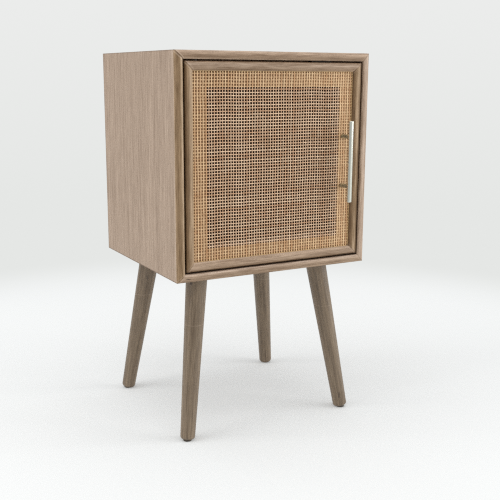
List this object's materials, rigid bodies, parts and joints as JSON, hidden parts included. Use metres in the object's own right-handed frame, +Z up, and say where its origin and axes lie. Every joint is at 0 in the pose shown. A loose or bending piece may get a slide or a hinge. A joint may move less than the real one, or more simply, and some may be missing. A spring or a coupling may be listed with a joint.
{
  "type": "storage side table",
  "caption": "Square box side table on splayed tapered legs, with a side-hung door of woven cane in a cushion moulding and a steel bar handle.",
  "frame": {"origin": "on the floor, under the middle of the whole table with its handle", "axes": "+Z up, -Y the door side, +X to the right seen from the front"},
  "size_m": [0.41, 0.3908, 0.727],
  "materials": {
    "veneer": "greyed oak veneer, open grain, matt lacquer",
    "lipping_wood": "stained solid wood, matt lacquer, pale rubbed edges",
    "leg_wood": "stained solid wood, matt lacquer",
    "moulding_wood": "stained solid wood, matt lacquer, pale rubbed edges",
    "frame_wood": "stained solid wood, matt lacquer",
    "dowel_wood": "plain beech",
    "back_board": "thin veneered board, matt",
    "cane": "natural woven cane",
    "handle_steel": "brushed, satin",
    "zinc_steel": "zinc plated",
    "glide_plastic": "dark moulded plastic",
    "catch_plastic": "white moulded plastic",
    "washer_plastic": "natural nylon",
    "magnet": "ferrite block"
  },
  "bodies": {
    "cabinet": {"back_panel": "back_board", "back_panel_screws": "zinc_steel", "bottom_lipping": "lipping_wood", "bottom_panel": "veneer", "catch_housing": "catch_plastic", "catch_magnet": "magnet", "catch_screws": "zinc_steel", "glide_back_left": "glide_plastic", "glide_back_right": "glide_plastic", "glide_front_left": "glide_plastic", "glide_front_right": "glide_plastic", "hinge_box_screws": "zinc_steel", "left_lipping": "lipping_wood", "left_side_panel": "veneer", "leg_back_left": "leg_wood", "leg_back_right": "leg_wood", "leg_front_left": "leg_wood", "leg_front_right": "leg_wood", "leg_hanger_bolts": "zinc_steel", "leg_plate_back_left": "zinc_steel", "leg_plate_back_right": "zinc_steel", "leg_plate_front_left": "zinc_steel", "leg_plate_front_right": "zinc_steel", "leg_plate_screws": "zinc_steel", "lower_hinge_box_plate": "zinc_steel", "lower_hinge_pin": "zinc_steel", "lower_hinge_washer": "washer_plastic", "right_lipping": "lipping_wood", "right_side_panel": "veneer", "top_lipping": "lipping_wood", "top_panel": "veneer", "upper_hinge_box_plate": "zinc_steel", "upper_hinge_pin": "zinc_steel", "upper_hinge_washer": "washer_plastic"},
    "door": {"cane_webbing": "cane", "door_bottom_moulding": "moulding_wood", "door_bottom_rail": "frame_wood", "door_frame_dowels": "dowel_wood", "door_hinge_stile": "frame_wood", "door_latch_stile": "frame_wood", "door_left_moulding": "moulding_wood", "door_right_moulding": "moulding_wood", "door_top_moulding": "moulding_wood", "door_top_rail": "frame_wood", "handle_bar": "handle_steel", "handle_post_lower": "handle_steel", "handle_post_upper": "handle_steel", "handle_screws": "zinc_steel", "hinge_door_screws": "zinc_steel", "lower_hinge_door_plate": "zinc_steel", "strike_plate": "zinc_steel", "strike_plate_screws": "zinc_steel", "upper_hinge_door_plate": "zinc_steel"}
  },
  "joints": [
    {"name": "door_hinge", "type": "hinge", "parent": "cabinet", "child": "door", "pos_m": [-0.1627, -0.156, 0.522], "axis": [0, 0, -1], "range_deg": [0, 110]}
  ]
}
